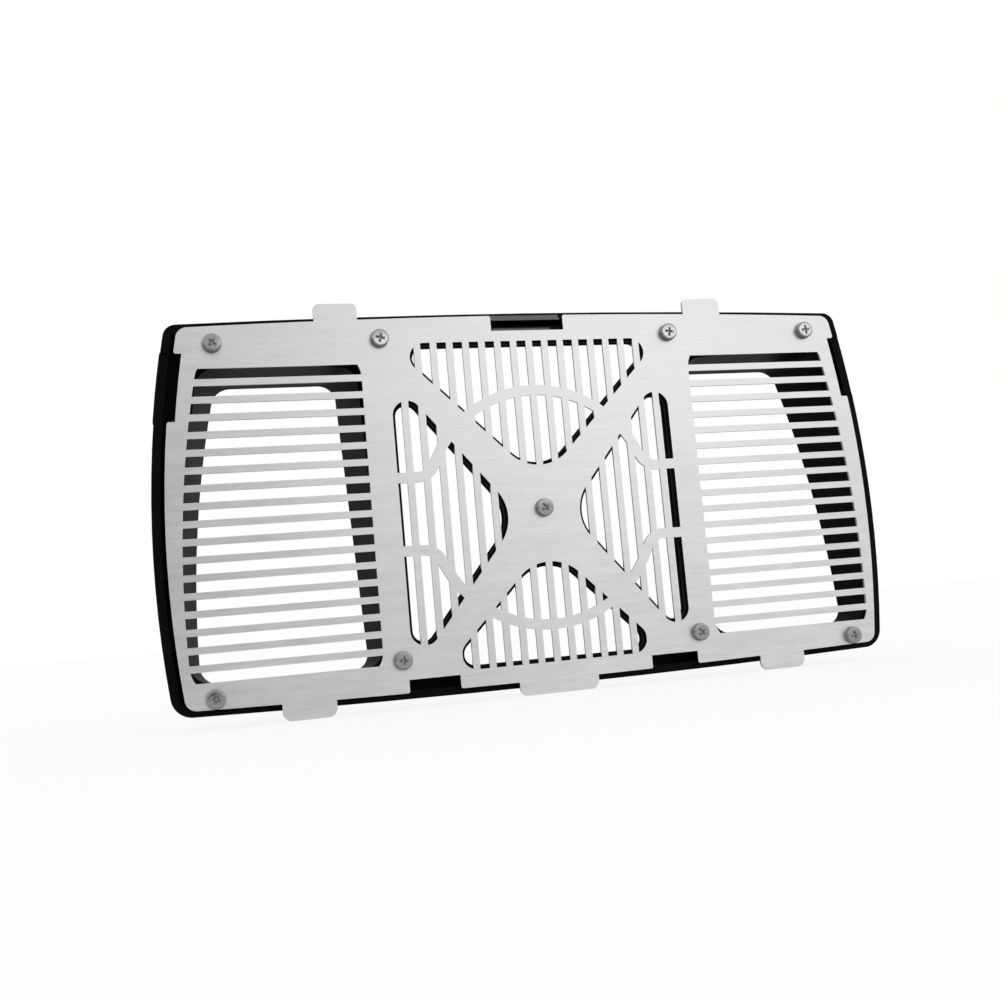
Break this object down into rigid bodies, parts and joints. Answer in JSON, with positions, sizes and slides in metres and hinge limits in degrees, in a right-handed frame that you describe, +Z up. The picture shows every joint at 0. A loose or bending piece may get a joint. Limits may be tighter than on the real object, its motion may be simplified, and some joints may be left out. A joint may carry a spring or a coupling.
{
  "type": "motorcycle radiator guard",
  "caption": "Slotted brushed steel radiator guard plate with an X of solid metal, a ring and side louvres, screwed to a black moulded frame with two air ducts.",
  "frame": {"origin": "the middle of the sloping plane on which the two ducts end, where the guard sits against the radiator", "axes": "+X across the guard, +Z up, -Y forwards, the way the slotted plate faces"},
  "size_m": [0.4098, 0.0442, 0.2143],
  "materials": {
    "brushed_plate": "brushed across the width",
    "black_moulding": "semi-gloss black moulding",
    "screw_steel": "plain bright steel"
  },
  "bodies": {
    "root": {"front_plate": "brushed_plate", "rear_frame": "black_moulding", "screws": "screw_steel"}
  },
  "joints": []
}
